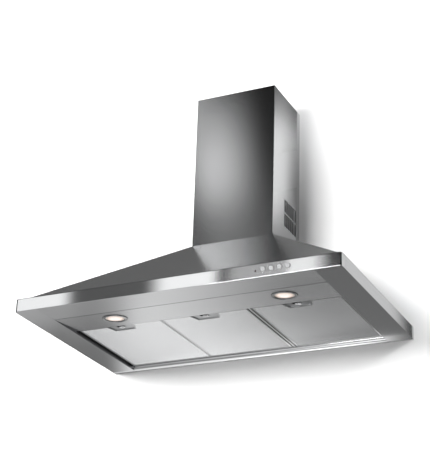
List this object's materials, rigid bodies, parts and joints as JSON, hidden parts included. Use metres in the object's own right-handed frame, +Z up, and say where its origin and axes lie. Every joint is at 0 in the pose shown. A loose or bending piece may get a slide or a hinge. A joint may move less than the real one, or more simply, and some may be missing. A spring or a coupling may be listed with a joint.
{
  "type": "chimney range hood",
  "caption": "Wall-mounted pyramid range hood with telescoping chimney, tilting grease filters, push buttons, round lamps and a blower inside.",
  "frame": {"origin": "on the wall plane at the rear face of the back panel, on the hood's centreline, at the height of its underside", "axes": "+X to the right as seen from the front, +Y towards the wall, +Z up"},
  "size_m": [0.9, 0.5475, 0.7444],
  "materials": {
    "steel_outer": "fine horizontal brush, satin",
    "steel_underside": "satin brushed",
    "filter_frame": "satin, folded channel",
    "filter_mesh": "fine expanded mesh layers",
    "latch_pan": "moulded, silver grey",
    "latch": "silver, smooth",
    "spring_steel": "polished spring steel",
    "galvanised_sheet": "zinc coated, faint spangle",
    "screws": "zinc plated",
    "vent_plastic": "moulded, dark grey",
    "button_cap": "metallised, dished",
    "button_ring": "silver ring",
    "pilot_red": "clear red lens",
    "black_plastic": "moulded",
    "lamp_chrome": "polished ring",
    "lamp_glass": "faceted, lit",
    "lamp_can": "plain",
    "motor_iron": "dark enamel"
  },
  "bodies": {
    "hood": {"back_panel": "galvanised_sheet", "blower_housing": "galvanised_sheet", "blower_screws": "screws", "button_bezels": "button_ring", "button_springs": "spring_steel", "cable_gland": "black_plastic", "canopy": "steel_outer", "canopy_screws": "screws", "capacitor": "black_plastic", "filter_divider": "steel_underside", "flap_pin": "spring_steel", "front_border_panel": "steel_underside", "front_fascia": "steel_outer", "inlet_rings": "black_plastic", "junction_box": "black_plastic", "lamp_bezel_left": "lamp_chrome", "lamp_bezel_right": "lamp_chrome", "lamp_body_left": "lamp_can", "lamp_body_right": "lamp_can", "lamp_glass_left": "lamp_glass", "lamp_glass_right": "lamp_glass", "lamp_panel": "steel_underside", "left_side_panel": "steel_outer", "lower_chimney": "steel_outer", "motor": "motor_iron", "motor_bracket": "galvanised_sheet", "outlet_collar": "galvanised_sheet", "pilot_lens": "pilot_red", "rear_rail": "steel_underside", "right_side_panel": "steel_outer", "side_vent_left": "vent_plastic", "side_vent_right": "vent_plastic", "switch_block": "black_plastic"},
    "button_1": {"push_button_1": "button_cap"},
    "button_2": {"push_button_2": "button_cap"},
    "button_3": {"push_button_3": "button_cap"},
    "button_4": {"push_button_4": "button_cap"},
    "filter_1": {"filter_1_frame": "filter_frame", "filter_1_mesh": "filter_mesh", "filter_1_latch_pan": "latch_pan"},
    "latch_1": {"filter_1_latch": "latch", "filter_1_catch": "spring_steel"},
    "filter_2": {"filter_2_frame": "filter_frame", "filter_2_mesh": "filter_mesh", "filter_2_latch_pan": "latch_pan"},
    "latch_2": {"filter_2_latch": "latch", "filter_2_catch": "spring_steel"},
    "filter_3": {"filter_3_frame": "filter_frame", "filter_3_mesh": "filter_mesh", "filter_3_latch_pan": "latch_pan"},
    "latch_3": {"filter_3_latch": "latch", "filter_3_catch": "spring_steel"},
    "impeller": {"impeller": "black_plastic", "impeller_shaft": "spring_steel"},
    "flap_left": {"flap_left": "black_plastic"},
    "flap_right": {"flap_right": "black_plastic"},
    "upper_chimney": {"upper_chimney": "steel_outer", "chimney_wall_bracket": "galvanised_sheet", "bracket_screws": "screws"}
  },
  "joints": [
    {"name": "button_1_press", "type": "slide", "parent": "hood", "child": "button_1", "axis": [0, 1, 0], "range_m": [0, 0.002], "stiffness_N_per_m": 300, "springref_m": -0.002, "deforming": ["button_springs"]},
    {"name": "button_2_press", "type": "slide", "parent": "hood", "child": "button_2", "axis": [0, 1, 0], "range_m": [0, 0.002], "stiffness_N_per_m": 300, "springref_m": -0.002, "deforming": ["button_springs"]},
    {"name": "button_3_press", "type": "slide", "parent": "hood", "child": "button_3", "axis": [0, 1, 0], "range_m": [0, 0.002], "stiffness_N_per_m": 300, "springref_m": -0.002, "deforming": ["button_springs"]},
    {"name": "button_4_press", "type": "slide", "parent": "hood", "child": "button_4", "axis": [0, 1, 0], "range_m": [0, 0.002], "stiffness_N_per_m": 300, "springref_m": -0.002, "deforming": ["button_springs"]},
    {"name": "filter_1_tilt", "type": "hinge", "parent": "hood", "child": "filter_1", "pos_m": [0, -0.025, 0.014], "axis": [1, 0, 0], "range_deg": [0, 40], "deforming": ["filter_1_catch"]},
    {"name": "filter_2_tilt", "type": "hinge", "parent": "hood", "child": "filter_2", "pos_m": [0, -0.025, 0.014], "axis": [1, 0, 0], "range_deg": [0, 40], "deforming": ["filter_2_catch"]},
    {"name": "filter_3_tilt", "type": "hinge", "parent": "hood", "child": "filter_3", "pos_m": [0, -0.025, 0.014], "axis": [1, 0, 0], "range_deg": [0, 40], "deforming": ["filter_3_catch"]},
    {"name": "filter_1_release", "type": "slide", "parent": "filter_1", "child": "latch_1", "axis": [0, 1, 0], "range_m": [0, 0.006], "stiffness_N_per_m": 300, "springref_m": -0.002},
    {"name": "filter_2_release", "type": "slide", "parent": "filter_2", "child": "latch_2", "axis": [0, 1, 0], "range_m": [0, 0.006], "stiffness_N_per_m": 300, "springref_m": -0.002},
    {"name": "filter_3_release", "type": "slide", "parent": "filter_3", "child": "latch_3", "axis": [0, 1, 0], "range_m": [0, 0.006], "stiffness_N_per_m": 300, "springref_m": -0.002},
    {"name": "impeller_spin", "type": "hinge", "parent": "hood", "child": "impeller", "pos_m": [0, -0.1062, 0.1435], "axis": [1, 0, 0], "continuous": true},
    {"name": "flap_left_swing", "type": "hinge", "parent": "hood", "child": "flap_left", "pos_m": [0, -0.0955, 0.262], "axis": [0, 1, 0], "range_deg": [0, 78]},
    {"name": "flap_right_swing", "type": "hinge", "parent": "hood", "child": "flap_right", "pos_m": [0, -0.0955, 0.262], "axis": [0, -1, 0], "range_deg": [0, 78]},
    {"name": "upper_chimney_slide", "type": "slide", "parent": "hood", "child": "upper_chimney", "axis": [0, 0, 1], "range_m": [0, 0.28]}
  ]
}
